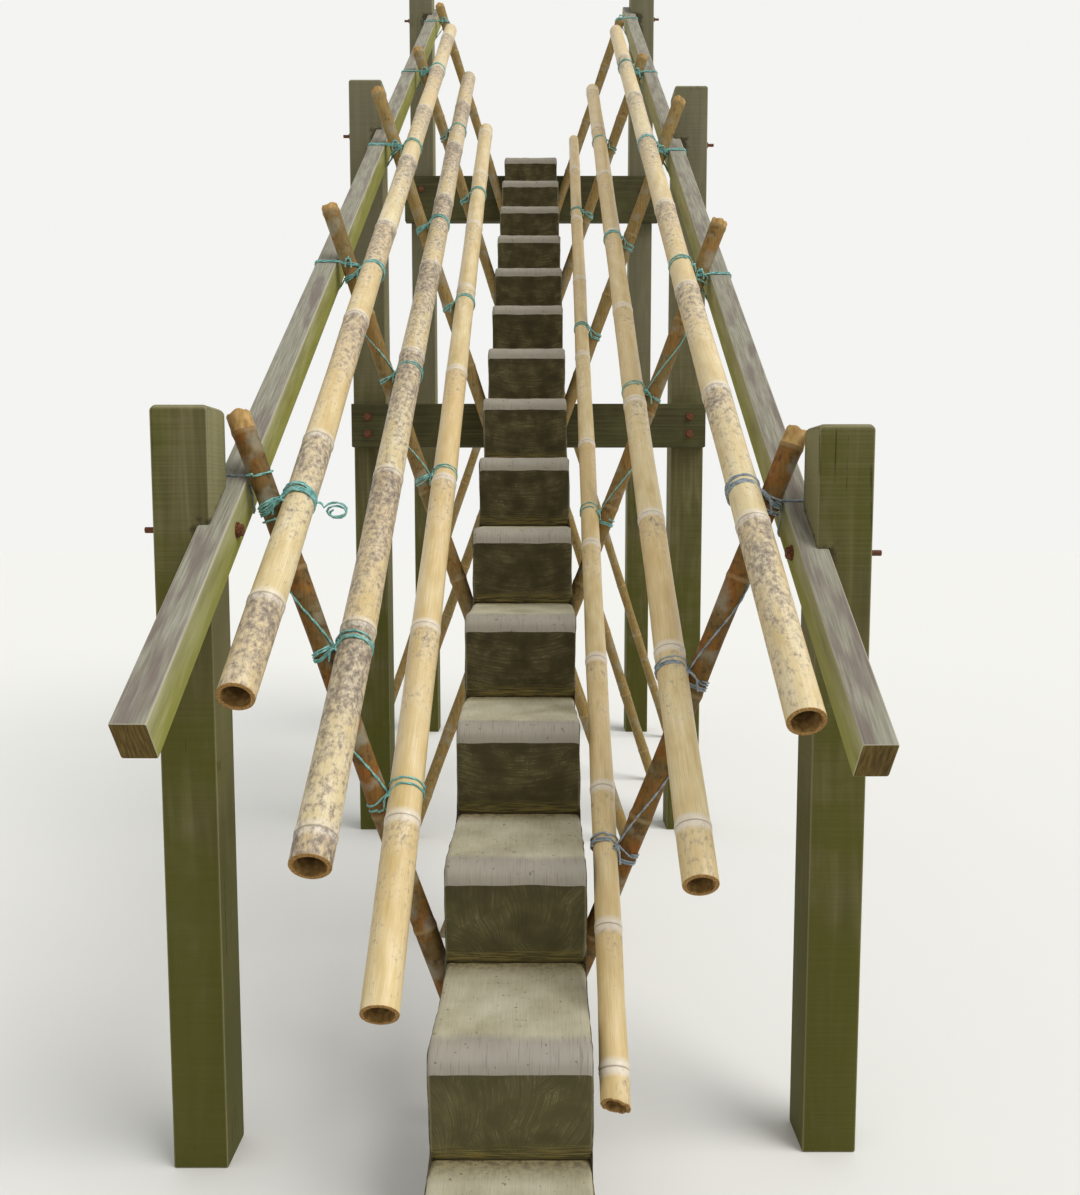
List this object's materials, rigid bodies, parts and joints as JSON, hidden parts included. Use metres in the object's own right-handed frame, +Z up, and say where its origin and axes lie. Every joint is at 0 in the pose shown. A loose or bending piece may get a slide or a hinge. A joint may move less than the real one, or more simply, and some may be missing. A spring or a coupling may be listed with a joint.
{
  "type": "longhouse entrance stair, notched log with bamboo and timber handrails",
  "caption": "Entrance stair of a longhouse: a steep log cut into treads, between bamboo and sawn timber handrails on crossed poles, posts and beams.",
  "frame": {"origin": "on the ground, in the middle of the log's foot", "axes": "+X to the climber's right, +Y horizontally up the stair, +Z up"},
  "size_m": [1.7547, 4.7377, 4.3342],
  "materials": {
    "log_wood": "hewn trunk, worn grey-brown treads and dark sawn risers",
    "post_timber": "sawn timber, weathered green-brown",
    "rail_timber": "sawn timber, weathered grey on top and yellow-green at the sides",
    "beam_timber": "sawn timber, dark and weathered",
    "bamboo_culm": "dry straw-coloured bamboo with grey-brown mottling",
    "pole_wood": "old brown round poles"
  },
  "bodies": {
    "root": {"notched_log": "log_wood", "front_post_left": "post_timber", "front_post_right": "post_timber", "middle_post_left": "post_timber", "middle_post_right": "post_timber", "head_post_left": "post_timber", "head_post_right": "post_timber", "timber_rail_left": "rail_timber", "timber_rail_right": "rail_timber", "middle_crossbeam": "beam_timber", "head_crossbeam": "beam_timber", "bamboo_left_outer": "bamboo_culm", "bamboo_left_middle": "bamboo_culm", "bamboo_left_inner": "bamboo_culm", "bamboo_right_outer": "bamboo_culm", "bamboo_right_middle": "bamboo_culm", "bamboo_right_inner": "bamboo_culm", "pole_left_1": "pole_wood", "pole_right_1": "pole_wood", "pole_left_2": "pole_wood", "pole_right_2": "pole_wood", "pole_left_3": "pole_wood", "pole_right_3": "pole_wood", "pole_left_4": "pole_wood", "pole_right_4": "pole_wood", "pole_left_5": "pole_wood", "pole_right_5": "pole_wood"}
  },
  "joints": []
}
